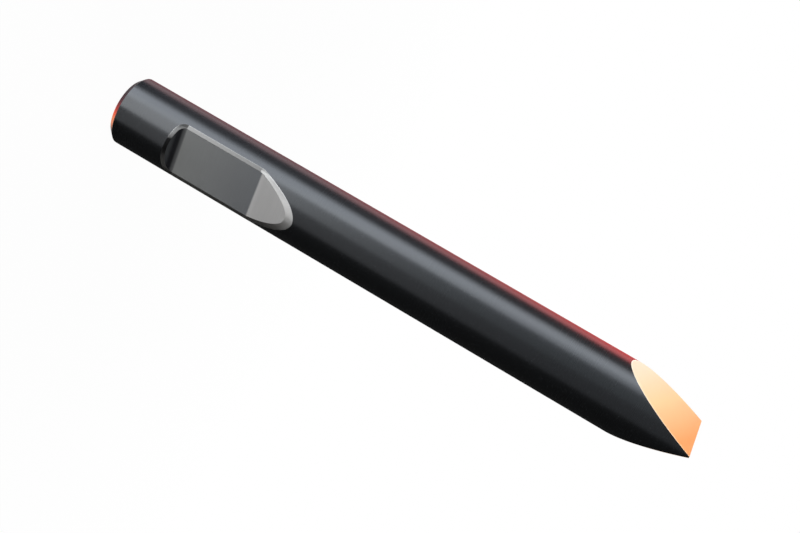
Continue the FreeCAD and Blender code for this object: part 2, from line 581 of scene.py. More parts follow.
class NotchEnd:
    """One end of the retaining notch: a root radius that turns the flat up into a plane.

    Heights along the bar are counted from where the flat ends, and away is -1 for the stop wall below
    it and +1 for the run-out above it. The rim is followed by a share that is 0 at its apex on the
    middle line and 1 beside the flat.
    """

    def __init__(
        self, form: Formulas, foot: Value, away: int, limit: Value, root: Value, apex_chamfer: Value
    ) -> None:
        """Keeps the end's sizes.

        Args:
            form: Shared formulas.
            foot: Height of the flat's end.
            away: Direction of the end along the bar, -1 or 1.
            limit: Angle through which the root turns.
            root: Radius of the root.
            apex_chamfer: How far the rim's chamfer reaches back at the apex.
        """
        self.form = form
        self.foot = foot
        self.away = away
        self.limit = limit
        self.root = root
        self.apex_chamfer = apex_chamfer

    def section(self, run: Number) -> tuple[Number, Number]:
        """Distance from the axis and height of the notch's floor after a run along it from the flat's end.

        Args:
            run: Length along the floor; on the flat itself it is negative.

        Returns:
            The distance and the height.
        """
        form = self.form
        tree = form.tree
        turn = tree.math("MAXIMUM", tree.math("MINIMUM", run / self.root, self.limit), 0.0)
        beyond = form.above_zero(run - self.root * self.limit)
        on_flat = tree.math("MINIMUM", run, 0.0)
        depth = (
            form.size.flat_height
            + self.root * (1.0 - form.cosine(turn))
            + beyond * form.sine(self.limit)
        )
        rise = self.root * form.sine(turn) + beyond * form.cosine(self.limit) + on_flat
        return depth, self.foot + rise * self.away

    def rim(self, share: Number) -> SimpleNamespace:
        """Where the floor meets the bar's round surface, and how the rim runs there.

        Args:
            share: Place along the rim, from 0 at the apex to 1 beside the flat.

        Returns:
            The angle round the bar, the run along the floor, and what the set-backs need.
        """
        form = self.form
        tree = form.tree
        widest = tree.math("ARCCOSINE", form.size.flat_height / form.size.radius)
        short_of = widest * form.square(1.0 - share)
        angle = widest - short_of
        climb = form.size.radius * 2.0 * form.sine((widest + angle) * 0.5) * form.sine(short_of * 0.5)
        half_turn = tree.math("ARCSINE", form.root_of(tree.math("MINIMUM", climb / (self.root * 2.0), 1.0)))
        turn = tree.math("MINIMUM", half_turn * 2.0, self.limit)
        root_climb = self.root * (1.0 - form.cosine(self.limit))
        run = self.root * turn + form.above_zero(climb - root_climb) / form.sine(self.limit)
        slant = form.root_of(
            form.square(form.sine(turn)) + form.square(form.sine(angle) * form.cosine(turn))
        )
        return SimpleNamespace(
            angle=angle,
            run=run,
            level=form.sine(turn) / slant,
            across=form.sine(angle) / slant,
            lean=form.cosine(turn),
        )

    def back(self, share: Number) -> tuple[Number, Number]:
        """How far the chamfer reaches back from the rim, and the end of its rounded edge there.

        Args:
            share: Place along the rim, from 0 at the apex to 1 beside the flat.

        Returns:
            Both distances from the rim.
        """
        size = self.form.size
        near_apex = self.form.tree.math("POWER", 1.0 - share, APEX_POWER)
        chamfer = self.form.tree.mix(size.rim_chamfer, self.apex_chamfer, near_apex)
        return chamfer, chamfer + size.edge_break

    def on_side(self, share: Number, back: Number) -> tuple[Number, Number]:
        """Angle and height of the point of the round surface that lies back from the rim by a distance.

        Args:
            share: Place along the rim, from 0 at the apex to 1 beside the flat.
            back: Distance from the rim.

        Returns:
            The angle and the height.
        """
        rim = self.rim(share)
        _, height = self.section(rim.run)
        angle = rim.angle + back / self.form.size.radius * rim.across * rim.lean
        return angle, height + back * rim.level * self.away

    def side(self, share: Number, back: Number) -> Value:
        """The same point in space."""
        return self.form.on_bar(*self.on_side(share, back))

    def on_floor(self, share: Number, back: Number) -> tuple[Number, Number]:
        """Distance from the middle line and run along the floor of the point that lies back from the rim.

        Args:
            share: Place along the rim, from 0 at the apex to 1 beside the flat.
            back: Distance from the rim.

        Returns:
            The distance and the run.
        """
        rim = self.rim(share)
        half_width = self.form.size.radius * self.form.sine(rim.angle) - back * rim.across
        return half_width, rim.run - back * rim.level * self.form.cosine(rim.angle)

    def floor(self, half_width: Number, run: Number) -> Value:
        """Point of the floor."""
        depth, height = self.section(run)
        return self.form.tree.point(half_width, -depth, height)

    def strip(self, share: Number) -> SimpleNamespace:
        """Points across the chamfered rim: where its faces start and end, and the corners they round off.

        Args:
            share: Place along the rim, from 0 at the apex to 1 beside the flat.

        Returns:
            The points under their names, from the round side to the floor.
        """
        form = self.form
        edge = form.size.edge_break
        chamfer, rounded = self.back(share)
        outer = self.side(share, chamfer)
        inner = self.floor(*self.on_floor(share, chamfer))
        return SimpleNamespace(
            side=self.side(share, rounded),
            outer=outer,
            outer_start=form.toward(outer, inner, edge),
            inner_start=form.toward(inner, outer, edge),
            inner=inner,
            floor=self.floor(*self.on_floor(share, rounded)),
        )


@dataclass
class RetainingNotch:
    """Milled notch for the retaining pin: stop wall, flat and run-out, with a chamfered rim."""

    flat_height: float = 0.0448
    flat_start: float = 0.1405
    flat_end: float = 0.299
    wall_angle: float = math.radians(70.0)
    wall_root: float = 0.015
    runout_angle: float = math.radians(15.0)
    runout_root: float = 0.026
    rim_chamfer: float = 0.004
    toe_chamfer: float = 0.0084
    edge_break: float = 0.0005

    def ends(self, form: Formulas) -> tuple[NotchEnd, NotchEnd]:
        """Stop wall's end and run-out's end.

        Args:
            form: Shared formulas.

        Returns:
            Both ends, the stop wall's first.
        """
        size = form.size
        wall = NotchEnd(form, size.flat_start, -1, size.wall_angle, size.wall_root, size.rim_chamfer)
        runout = NotchEnd(form, size.flat_end, 1, size.runout_angle, size.runout_root, size.toe_chamfer)
        return wall, runout

    def apex(self, end: NotchEnd) -> Number:
        """Height at which an end of the notch, with its chamfer, starts or stops."""
        return end.on_side(0.0, end.back(0.0)[1])[1]

    def lay(self, form: Formulas) -> None:
        """Lays both ends of the notch, and the straight stretch between them.

        Args:
            form: Shared formulas.
        """
        wall, runout = self.ends(form)
        self.lay_end(form, wall, rows=WALL_ROWS, plane=Finish.STOP_WALL, rim=Finish.WALL_RIM)
        self.lay_end(form, runout, rows=RUNOUT_ROWS, plane=Finish.RUNOUT, rim=Finish.RUNOUT_RIM)
        self.lay_straight(form, wall, runout)

    def lay_end(self, form: Formulas, end: NotchEnd, rows: int, plane: Finish, rim: Finish) -> None:
        """Lays the five strips of one end: round side, rounded edge, chamfer, rounded edge and floor.

        Args:
            form: Shared formulas.
            end: End of the notch.
            rows: Cells along the rim.
            plane: Finish of the floor there.
            rim: Finish of the chamfered rim there.
        """
        tree = form.tree
        apex = self.apex(end)
        apex_run = end.on_floor(0.0, end.back(0.0)[1])[1]

        def share(v: Value) -> Value:
            """Place along the rim; v always runs up the bar."""
            return v if end.away < 0 else 1.0 - v

        def round_side(u: Value, v: Value) -> Value:
            """Round surface from the rim to the back, with rows that fan out to even heights.

            Args:
                u: Share of the columns.
                v: Share of the rows.

            Returns:
                Its point.
            """
            angle, height = end.on_side(share(v), end.back(share(v))[1])
            spread = form.spread(u) / HALF_TURN
            even = tree.mix(apex, end.foot, share(v))
            return form.on_bar(tree.mix(angle, HALF_TURN, spread), tree.mix(height, even, spread))

        def plane_floor(u: Value, v: Value) -> Value:
            """Floor from the middle line to the rim, with rows that fan out to even runs.

            Args:
                u: Share of the columns.
                v: Share of the rows.

            Returns:
                Its point.
            """
            half_width, run = end.on_floor(share(v), end.back(share(v))[1])
            even = tree.mix(apex_run, 0.0, share(v))
            return end.floor(half_width * u, tree.mix(even, run, u))

        def strip(section: Callable[..., Value], u: Value, v: Value) -> Value:
            """Strip along the rim."""
            return section(end.strip(share(v)), u)

        tree.lay(Patch(COLUMNS, rows, Finish.LACQUER), round_side)
        tree.lay(Patch(FLOOR_CELLS, rows, plane), plane_floor)
        for cells, section in self.rim_sections(form):
            tree.lay(Patch(cells, rows, rim), partial(strip, section))

    def rim_sections(self, form: Formulas) -> tuple[tuple[int, Callable[..., Value]], ...]:
        """Cells and formula of the three strips across the rim, from the floor outwards.

        Args:
            form: Shared formulas.

        Returns:
            Cells and formula of each strip; a formula takes the rim's points and u.
        """
        return (
            (EDGE_CELLS, lambda strip, u: form.bend(strip.floor, strip.inner, strip.inner_start, u)),
            (CHAMFER_CELLS, lambda strip, u: form.line(strip.inner_start, strip.outer_start, u)),
            (EDGE_CELLS, lambda strip, u: form.bend(strip.outer_start, strip.outer, strip.side, u)),
        )

    def lay_straight(self, form: Formulas, wall: NotchEnd, runout: NotchEnd) -> None:
        """Lays the same strips beside the flat, where the section doesn't change.

        Args:
            form: Shared formulas.
            wall: Stop wall's end.
            runout: Run-out's end.
        """
        tree = form.tree
        back = wall.back(1.0)[1]

        def round_side(u: Value, v: Value) -> Value:
            """Round surface from the rim to the back.

            Args:
                u: Share of the columns.
                v: Share of the rows.

            Returns:
                Its point.
            """
            angle, _ = wall.on_side(1.0, back)
            height = tree.mix(form.size.flat_start, form.size.flat_end, v)
            return form.on_bar(tree.mix(angle, HALF_TURN, form.spread(u) / HALF_TURN), height)

        def flat(u: Value, v: Value) -> Value:
            """Flat from the middle line to the rim.

            Args:
                u: Share of the columns.
                v: Share of the rows.

            Returns:
                Its point.
            """
            half_width, _ = wall.on_floor(1.0, back)
            height = tree.mix(form.size.flat_start, form.size.flat_end, v)
            return tree.point(half_width * u, -form.size.flat_height, height)

        def strip(section: Callable[..., Value], u: Value, v: Value) -> Value:
            """Strip along the rim, from the stop wall's end to the run-out's."""
            return form.line(section(wall.strip(1.0), u), section(runout.strip(1.0), u), v)

        tree.lay(Patch(COLUMNS, FLAT_ROWS, Finish.LACQUER), round_side)
        tree.lay(Patch(FLOOR_CELLS, FLAT_ROWS, Finish.FLAT), flat)
        for cells, section in self.rim_sections(form):
            tree.lay(Patch(cells, FLAT_ROWS, Finish.RIM), partial(strip, section))


@dataclass
class Blade:
    """Wedge point: two flats that meet at a blunt edge."""

    half_angle: float = math.radians(22.5)
    thickness: float = 0.004
    blade_edge_break: float = 0.0008
    shoulder: float = 0.03

    def start(self, form: Formulas) -> Number:
        """Height at which the blade's own patches start, a little below its flats."""
        return self.rim_height(form, 0.0) - form.size.shoulder

    def rim_height(self, form: Formulas, angle: Number) -> Number:
        """Height of a flat's rim, at an angle from the flat's middle line.

        Args:
            form: Shared formulas.
            angle: Angle from the flat's middle line.

        Returns:
            The height.
        """
        size = form.size
        out = size.radius * form.cosine(angle) - size.thickness * 0.5
        return size.length - out / form.tangent(size.half_angle)

    def rim(self, form: Formulas, share: Number) -> SimpleNamespace:
        """Rim of a flat and the points that lie back from it.

        Args:
            form: Shared formulas.
            share: Place along the rim, from 0 at its lowest point to 1 at the blade's edge.

        Returns:
            The corner and the start of its rounding on both faces, as distances along X, Y and Z on the
            side of +Y, and the angle and height of the start on the round surface.
        """
        tree = form.tree
        size = form.size
        angle = form.blade_turn * share
        height = self.rim_height(form, angle)
        tilt = form.sine(size.half_angle)
        slope = form.cosine(size.half_angle)
        slant = form.root_of(tilt * tilt + form.square(form.sine(angle) * slope))
        level = 1.0 - tree.math("POWER", share, EDGE_POWER)
        back = size.blade_edge_break
        side_angle = angle + back / size.radius * form.sine(angle) * slope / slant
        side_height = height - back * tilt / slant * level
        climb = back * form.cosine(angle) * tilt / slant * level
        half_width = size.radius * form.sine(angle) - back * form.sine(angle) / slant
        return SimpleNamespace(
            corner=tree.point(size.radius * form.cosine(angle), size.radius * form.sine(angle), height),
            side=tree.point(
                size.radius * form.cosine(side_angle), size.radius * form.sine(side_angle), side_height
            ),
            flat=tree.point(
                size.radius * form.cosine(angle) - tilt * climb, half_width, height + slope * climb
            ),
            angle=side_angle,
            height=side_height,
        )

    def lay(self, form: Formulas) -> None:
        """Lays the round sides below and beside one flat, its rounded rim, the flat and half the edge.

        Args:
            form: Shared formulas.
        """
        self.lay_sides(form)
        self.lay_rims(form)
        self.lay_flat(form)
        self.lay_edge(form)

    def lay_sides(self, form: Formulas) -> None:
        """Lays the round surface in front of the flat and behind it.

        Args:
            form: Shared formulas.
        """
        tree = form.tree
        size = form.size
        bottom = self.start(form)
        last = self.rim(form, 1.0)

        def beside_flat(u: Value, v: Value) -> tuple[Number, Number]:
            """Angle from the flat's middle line, and height; u is 0 at the middle line."""
            rim = self.rim(form, u)
            return tree.mix(form.blade_turn * u, rim.angle, v), tree.mix(bottom, rim.height, v)

        def beside_edge(u: Value, v: Value) -> tuple[Number, Number]:
            """The same for the narrow strip up to the end of the blade's edge; u is 0 at the rim."""
            rim_angle = tree.mix(form.blade_turn, last.angle, v)
            return tree.mix(rim_angle, QUARTER_TURN, u), tree.mix(bottom, size.length, v)

        def round_side(section: SideSection, side: int, u: Value, v: Value) -> Value:
            """Round surface on one side of the flat."""
            angle, height = section(u if side > 0 else 1.0 - u, v)
            return form.on_bar(QUARTER_TURN + angle * side, height)

        for columns, section in ((QUARTER_CELLS, beside_flat), (CORNER_CELLS, beside_edge)):
            for side in (-1, 1):
                tree.lay(Patch(columns, BLADE_ROWS, Finish.LACQUER), partial(round_side, section, side))

    def lay_rims(self, form: Formulas) -> None:
        """Lays the rounded rim on both sides of the flat.

        Args:
            form: Shared formulas.
        """
        tree = form.tree

        def rounded(side: int, u: Value, v: Value) -> Value:
            """Rounded rim, from the round surface to the flat in front, and back again behind.

            Args:
                side: -1 in front of the flat, 1 behind it.
                u: Share of the columns.
                v: Share of the rows.

            Returns:
                Its point.
            """
            rim = self.rim(form, v)
            first, last = (rim.side, rim.flat) if side < 0 else (rim.flat, rim.side)
            return tree.vector("MULTIPLY", form.bend(first, rim.corner, last, u), (1.0, side, 1.0))

        for side in (-1, 1):
            tree.lay(Patch(EDGE_CELLS, QUARTER_CELLS, Finish.BLADE_RIM), partial(rounded, side))

    def lay_flat(self, form: Formulas) -> None:
        """Lays the flat, with rows that fan out to even heights on its middle line.

        Args:
            form: Shared formulas.
        """
        tree = form.tree
        size = form.size
        lowest = tree.parts(self.rim(form, 0.0).flat)[2]

        def flat(u: Value, v: Value) -> Value:
            """Point of the flat.

            Args:
                u: Share of the columns.
                v: Share of the rows.

            Returns:
                The point.
            """
            _, half_width, rim_height = tree.parts(self.rim(form, v).flat)
            side = u * 2.0 - 1.0
            height = tree.mix(tree.mix(lowest, size.length, v), rim_height, side * side)
            out = size.thickness * 0.5 + (size.length - height) * form.tangent(size.half_angle)
            return tree.point(out, half_width * side, height)

        tree.lay(Patch(WEDGE_CELLS, QUARTER_CELLS, Finish.BLADE), flat)

    def lay_edge(self, form: Formulas) -> None:
        """Lays half of the blunt edge, from the flat to the middle plane.

        Args:
            form: Shared formulas.
        """
        tree = form.tree
        size = form.size
        last = self.rim(form, 1.0)

        def corner(u: Value, v: Value) -> Value:
            """Strip that ends in the rounded corners."""
            outline = form.bend(last.flat, last.corner, last.side, v)
            return tree.vector("MULTIPLY", outline, tree.point(1.0, u * 2.0 - 1.0, 1.0))

        def middle(u: Value, v: Value) -> Value:
            """Strip between the corners and the middle plane.

            Args:
                u: Share of the columns.
                v: Share of the rows.

            Returns:
                Its point.
            """
            angle = tree.mix(last.angle, QUARTER_TURN, v)
            half_width = size.radius * form.sine(angle)
            return tree.point(size.radius * form.cosine(angle), half_width * (u * 2.0 - 1.0), size.length)

        tree.lay(Patch(WEDGE_CELLS, EDGE_CELLS, Finish.BLADE), corner)
        tree.lay(Patch(WEDGE_CELLS, CORNER_CELLS, Finish.BLADE), middle)


class Chisel:
    """The whole tool, one solid steel bar, made of its sub-assemblies."""

    def __init__(self, box: tuple[Vector, Vector]) -> None:
        """Takes the bar's radius and length from the box of the CAD node.

        Args:
            box: Lowest and highest corner of the node.
        """
        lowest, highest = box
        self.bar = Bar((highest.x - lowest.x) / 2, highest.z - lowest.z)
        self.notch = RetainingNotch()
        self.blade = Blade()

    def build(self, materials: dict[Finish, bpy.types.Material]) -> bpy.types.Object:
        """Builds the surface, puts it under the body's empty in place of the CAD node, which it hides, and
        returns it.

        Args:
            materials: Material of each finish.

        Returns:
            The finished piece.
        """
        tree = SurfaceTree("chisel surface")
        given = {}
        for part in (self.bar, self.notch, self.blade):
            given.update(vars(tree.sizes(part)))
        form = Formulas(tree, SimpleNamespace(**given))
        wall, runout = self.notch.ends(form)
        self.bar.lay_head(form, self.notch.apex(wall))
        self.notch.lay(form)
        self.bar.lay_middle(form, self.notch.apex(runout), self.blade.start(form))
        self.blade.lay(form)
        tree.close(WELD, materials)
        mesh = tree.mesh("chisel")
        self.smooth(mesh)
        piece = bpy.data.objects.new("chisel", mesh)
        bpy.context.scene.collection.objects.link(piece)
        normals = piece.modifiers.new("even shading", "WEIGHTED_NORMAL")
        normals.keep_sharp = True
        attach(piece, BODY)
        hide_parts(NODE)
        return piece

    def smooth(self, mesh: bpy.types.Mesh) -> None:
        """Turns all faces outwards, checks that the surface is closed, and shades it smooth.

        Args:
            mesh: Mesh of the whole tool.
        """
        work = bmesh.new()
        work.from_mesh(mesh)
        bmesh.ops.recalc_face_normals(work, faces=work.faces)
        open_edges = sum(1 for edge in work.edges if len(edge.link_faces) != 2)
        volume = work.calc_volume(signed=True)
        work.to_mesh(mesh)
        work.free()
        mesh.shade_smooth()
        mesh.set_sharp_from_angle(angle=SHARP_TURN)
        mesh.calc_loop_triangles()
        log.info("open edges %d, volume %.6f, triangles %d", open_edges, volume, len(mesh.loop_triangles))


class Grain(Enum):
    """Directions of fine tool marks, as how fast the pattern changes along X, Y and Z."""

    TURNED = (14.0, 14.0, 1400.0)
    MILLED = (24.0, 60.0, 1100.0)
    GROUND = (300.0, 25.0, 1500.0)
    FACED = (900.0, 900.0, 40.0)


class ShaderGraph(Graph):
    """Node tree of a material, with the object's own coordinates and a few patterns."""

    def __init__(self, name: str) -> None:
        """Makes the material.

        Args:
            name: Name of the material.
        """
        self.material = bpy.data.materials.new(name)
        self.material.use_nodes = True
        super().__init__(self.material.node_tree)
        self.place = self.node("ShaderNodeTexCoord", output="Object")

    def noise(self, rate: tuple[float, float, float], detail: float = 3.0) -> Value:
        """Noise from 0 to 1 that changes at a rate along each axis."""
        turned = self.node("ShaderNodeMapping", inputs={"Vector": self.place, "Scale": rate})
        return self.node("ShaderNodeTexNoise", inputs={"Vector": turned, "Scale": 1.0, "Detail": detail})

    def ramp(self, factor: Value, stops: Stops) -> Value:
        """Colour ramp."""
        return self.node("ShaderNodeValToRGB", {"stops": stops}, {0: factor})

    def darker(self, colour: Value, share: Number) -> Value:
        """Colour multiplied by a share.

        Args:
            colour: Colour.
            share: Number that multiplies it.

        Returns:
            The darker colour.
        """
        return self.node(
            "ShaderNodeMix",
            {"data_type": "RGBA", "blend_type": "MULTIPLY"},
            {"Factor": 1.0, 6: colour, 7: self.point(share, share, share)},
            output=2,
        )

    def bump(self, height: Value, depth: float) -> Value:
        """Normal of a surface whose pattern is as deep as this, in metres."""
        return self.node("ShaderNodeBump", inputs={"Strength": 1.0, "Distance": depth, "Height": height})

    def end(self, surface: Value) -> bpy.types.Material:
        """Sends a shader to the material's output."""
        self.sink("ShaderNodeOutputMaterial", surface)
        return self.material


@dataclass(frozen=True)
class Lacquer:
    """Satin black lacquer over turned steel: fine rings, orange peel, specks of dust and uneven gloss."""

    name: str = "satin black lacquer"
    colour: Colour = (0.0058, 0.0065, 0.0072)
    roughness: float = 0.27
    unevenness: float = 0.015
    cloud_rate: tuple[float, float, float] = (7.0, 7.0, 5.0)
    ring_depth: float = 0.2e-6
    peel_depth: float = 0.5e-6
    peel_rate: tuple[float, float, float] = (420.0, 420.0, 420.0)
    dust_rate: tuple[float, float, float] = (260.0, 260.0, 260.0)
    dust_start: float = 0.62
    dust_full: float = 0.75
    dust_gain: float = 3.0

    def material(self) -> bpy.types.Material:
        """Builds the material.

        Returns:
            The material.
        """
        graph = ShaderGraph(self.name)
        cloud = graph.noise(self.cloud_rate)
        rings = graph.noise(Grain.TURNED.value, detail=2.0)
        peel = graph.noise(self.peel_rate, detail=2.0)
        dust = graph.noise(self.dust_rate, detail=6.0)
        dusty = tuple(channel * self.dust_gain for channel in self.colour)
        stops = ((0.0, self.colour), (self.dust_start, self.colour), (self.dust_full, dusty))
        height = rings * (self.ring_depth / self.peel_depth) + peel
        shader = graph.node("ShaderNodeBsdfPrincipled", inputs={
            "Base Color": graph.ramp(dust, stops),
            "Roughness": self.roughness + (cloud - 0.5) * self.unevenness + (rings - 0.5) * self.unevenness,
            "Normal": graph.bump(height, self.peel_depth),
        })
        return graph.end(shader)


@dataclass(frozen=True)
class Steel:
    """Bare steel with tool marks. Its colour may change along an axis of the part, or one that leans to Y;
    most finishes use this for painted light and shade.
    """

    name: str
    stops: Stops
    grain: Grain
    axis: int = 2
    lean: float = 0.0
    start: float = 0.0
    end: float = 1.0
    roughness: float = 0.5
    metallic: float = 0.0
    unevenness: float = 0.16
    wander: float = 0.0
    specular: float = 0.5
    depth: float = 6e-6
    gloss_change: float = 0.2
    cloud_rate: tuple[float, float, float] = (16.0, 16.0, 16.0)

    def material(self) -> bpy.types.Material:
        """Builds the material.

        Returns:
            The material.
        """
        graph = ShaderGraph(self.name)
        marks = graph.noise(self.grain.value)
        cloud = graph.noise(self.cloud_rate, detail=4.0)
        parts = graph.parts(graph.place)
        along = parts[self.axis] + parts[1] * self.lean
        share = (along - self.start) / (self.end - self.start) + (cloud - 0.5) * self.wander
        # the ramp is the steel's colour together with the painted light and shade of the finish
        tint_and_painted_light = graph.ramp(share, self.stops)
        wear = 1.0 + (marks - 0.5) * self.unevenness + (cloud - 0.5) * self.unevenness
        shader = graph.node("ShaderNodeBsdfPrincipled", inputs={
            "Base Color": graph.darker(tint_and_painted_light, wear),
            "Metallic": self.metallic,
            "Specular IOR Level": self.specular,
            "Roughness": self.roughness + (marks - 0.5) * self.gloss_change,
            "Normal": graph.bump(marks, self.depth),
        })
        return graph.end(shader)


def ground(*stops: tuple[float, float]) -> Stops:
    """Stops of a colour ramp in the faintly warm grey of ground steel, from positions and shades; on the
    rims of the notch's ends they are painted light and shade.
    """
    return tuple((position, (shade * 1.03, shade, shade * 0.95)) for position, shade in stops)


WHITE = (1.0, 1.0, 1.0, 1.0)
FLAT_GREY = (0.128, 0.134, 0.141)
# pale grey of the run-out: painted light, as it leans towards the floor
RUNOUT_PAINTED_LIGHT_GREY = (0.42, 0.415, 0.41)

FINISHES = {
    Finish.LACQUER: Lacquer(),
    # painted light: the flat is brightest just past the stop wall and darkens towards the run-out
    Finish.FLAT: Steel(
        "milled flat",
        ((0.0, (0.12, 0.121, 0.12)), (0.012, (0.195, 0.2, 0.195)), (1.0, FLAT_GREY)),
        Grain.MILLED, start=0.1405, end=0.3,
    ),
    # painted light: a bright band past the flat's end, then the run-out paler than the flat
    Finish.RUNOUT: Steel(
        "milled run-out",
        (
            (0.0, FLAT_GREY), (0.02, FLAT_GREY), (0.05, (0.47, 0.465, 0.46)),
            (0.15, RUNOUT_PAINTED_LIGHT_GREY), (1.0, RUNOUT_PAINTED_LIGHT_GREY),
        ),
        Grain.MILLED, start=0.3, end=0.4,
    ),
    # painted shade: the stop wall is dark as it faces away from the light, black across its root, and greys
    # into the flat
    Finish.STOP_WALL: Steel(
        "milled stop wall",
        (
            (0.0, (0.04, 0.042, 0.044)), (0.25, (0.038, 0.04, 0.042)), (0.42, (0.006, 0.006, 0.007)),
            (0.6, (0.005, 0.005, 0.006)), (0.66, (0.012, 0.012, 0.013)), (0.75, (0.055, 0.056, 0.057)),
            (0.87, (0.075, 0.076, 0.077)), (1.0, (0.13, 0.132, 0.13)),
        ),
        Grain.MILLED, start=0.12, end=0.141, specular=0.2,
    ),
    Finish.RIM: Steel(
        "ground rim", ground((0.0, 0.15), (1.0, 0.125)), Grain.GROUND,
        start=0.14, end=0.3, roughness=0.35, metallic=0.75,
    ),
    # painted light and shade: bright and dark bands along X where the rim turns towards or away from the
    # light
    Finish.WALL_RIM: Steel(
        "ground rim of the stop wall",
        ground(
            (0.12, 0.03), (0.14, 0.035), (0.175, 0.16), (0.2, 0.24), (0.24, 0.3), (0.3, 0.25),
            (0.325, 0.16), (0.345, 0.01), (0.5, 0.01), (0.56, 0.03), (0.62, 0.1), (0.7, 0.16),
            (0.78, 0.17), (0.87, 0.06),
        ),
        Grain.GROUND, axis=0, start=-BAR_RADIUS, end=BAR_RADIUS, roughness=0.35, metallic=0.75,
    ),
    # painted light and shade: the rim is bright at the top, fades round the toe and is dark underneath,
    # along X
    Finish.RUNOUT_RIM: Steel(
        "ground rim of the run-out",
        ground(
            (0.12, 0.15), (0.14, 0.27), (0.175, 0.3), (0.22, 0.39), (0.3, 0.56), (0.38, 0.58), (0.5, 0.63),
            (0.62, 0.44), (0.71, 0.25), (0.78, 0.2), (0.87, 0.22),
        ),
        Grain.GROUND, axis=0, start=-BAR_RADIUS, end=BAR_RADIUS, roughness=0.35, metallic=0.85,
    ),
    # orange wedge flats, paler to cream towards the bar with a painted highlight
    Finish.BLADE: Steel(
        "heat-tinted wedge", ((0.0, (1.0, 0.9, 0.68)), (0.5, (1.0, 0.74, 0.38)), (1.0, (1.0, 0.43, 0.14))),
        Grain.GROUND, lean=-0.38, start=WEDGE_FOOT, end=BAR_END, unevenness=0.05, wander=0.05, specular=0.25,
    ),
    # painted highlight: the wedge's rounded rim is a pale line, cream towards the bar and orange at the
    # blade
    Finish.BLADE_RIM: Steel(
        "ground wedge rim", ((0.0, (1.0, 0.95, 0.8)), (1.0, (1.0, 0.6, 0.3))), Grain.GROUND,
        start=WEDGE_FOOT, end=BAR_END, unevenness=0.05,
    ),
    # orange chamfer with painted light and shade: a bright orange band across X between dark red and
    # near-black ends
    Finish.HEAD_CHAMFER: Steel(
        "heat-tinted head chamfer",
        (
            (0.0, (0.02, 0.006, 0.01)), (0.15, (0.08, 0.012, 0.02)), (0.28, (0.45, 0.035, 0.025)),
            (0.4, (1.0, 0.14, 0.05)), (0.5, (1.0, 0.32, 0.12)), (0.62, (1.0, 0.34, 0.15)),
            (0.75, (0.06, 0.02, 0.015)),
        ),
        Grain.TURNED, axis=0, start=-0.047, end=0.0505,
        metallic=0.5, unevenness=0.1, wander=0.05, specular=0.1,
    ),
    Finish.STRIKING_FACE: Steel(
        "faced striking end", ((0.0, (0.2, 0.2, 0.205)), (1.0, (0.26, 0.26, 0.26))), Grain.FACED,
        axis=0, start=-BAR_RADIUS, end=BAR_RADIUS, metallic=0.5, wander=0.3,
    ),
}


@dataclass(frozen=True)
class Card:
    """Upright bent card round the bar, with the strip of floor before it, that only reflections see.

    Each of its lines lies where a line of the bar reflects to: at half the angle on the bar's surface,
    and from there outwards at the angle. Angles count from the side of the camera and grow towards -X.
    The brightness goes from low at the rise height to high at the fade height, and stays there. A bend
    above 1 makes it change most at first, and one below 1 at last.
    """

    name: str
    first: float
    last: float
    low: Colour
    high: Colour
    rise: float = 0.0
    fade: float = 0.75
    bend: float = 1.0
    reach: float = 0.55
    inner: float = 0.002
    bottom: float = 0.001
    top: float = 2.4
    steps: int = 24

    def toward(self, angle: float) -> Vector:
        """Level direction at an angle from the side of the camera."""
        turn = math.radians(angle)
        return TO_CAMERA * math.cos(turn) + BESIDE_CAMERA * math.sin(turn)

    def place(self, angle: float, reach: float, height: float) -> Vector:
        """Point of the card's line at an angle, at a distance from the bar's surface."""
        foot = self.toward(angle / 2) * BAR_RADIUS + self.toward(angle) * reach
        return foot + Vector((0.0, 0.0, height))

    def build(self) -> None:
        """Builds the card, which camera, diffuse, transmission and shadow rays pass by."""
        angles = [self.first + (self.last - self.first) * i / self.steps for i in range(self.steps + 1)]
        rows = [(self.reach, self.top), (self.reach, self.bottom), (self.inner, self.bottom)]
        points = [self.place(angle, *row) for row in rows for angle in angles]
        faces = []
        for row in range(len(rows) - 1):
            for i in range(self.steps):
                corner = row * (self.steps + 1) + i
                faces.append((corner, corner + 1, corner + self.steps + 2, corner + self.steps + 1))
        mesh = bpy.data.meshes.new(self.name)
        mesh.from_pydata(points, [], faces)
        graph = ShaderGraph(self.name)
        height = graph.parts(graph.place)[2]
        climb = graph.math("MULTIPLY", height - self.rise, 1.0 / (self.fade - self.rise), clamp=True)
        share = 1.0 - graph.math("POWER", 1.0 - climb, self.bend)
        light = graph.node(
            "ShaderNodeMix",
            {"data_type": "RGBA"},
            {"Factor": share, 6: (*self.low, 1.0), 7: (*self.high, 1.0)},
            output=2,
        )
        mesh.materials.append(graph.end(graph.node("ShaderNodeEmission", inputs={"Color": light})))
        card = bpy.data.objects.new(self.name, mesh)
        bpy.context.scene.collection.objects.link(card)
        card.visible_camera = False
        card.visible_diffuse = False
        card.visible_transmission = False
        card.visible_shadow = False


@dataclass(frozen=True)
class Lamp:
    """Soft lamp that lights matte surfaces and leaves reflections to the cards."""

    name: str
    place: tuple[float, float, float]
    size: float
    power: float
    aim: tuple[float, float, float] = (0.0, 0.0, 0.5)

    def build(self) -> None:
        """Builds the lamp, aimed at the bar."""
        data = bpy.data.lights.new(self.name, "AREA")
        data.size = self.size
        data.energy = self.power
        lamp = bpy.data.objects.new(self.name, data)
        bpy.context.scene.collection.objects.link(lamp)
        lamp.location = self.place
        lamp.rotation_mode = "QUATERNION"
        lamp.rotation_quaternion = (Vector(self.aim) - Vector(self.place)).to_track_quat("-Z", "Y")
        lamp.visible_glossy = False


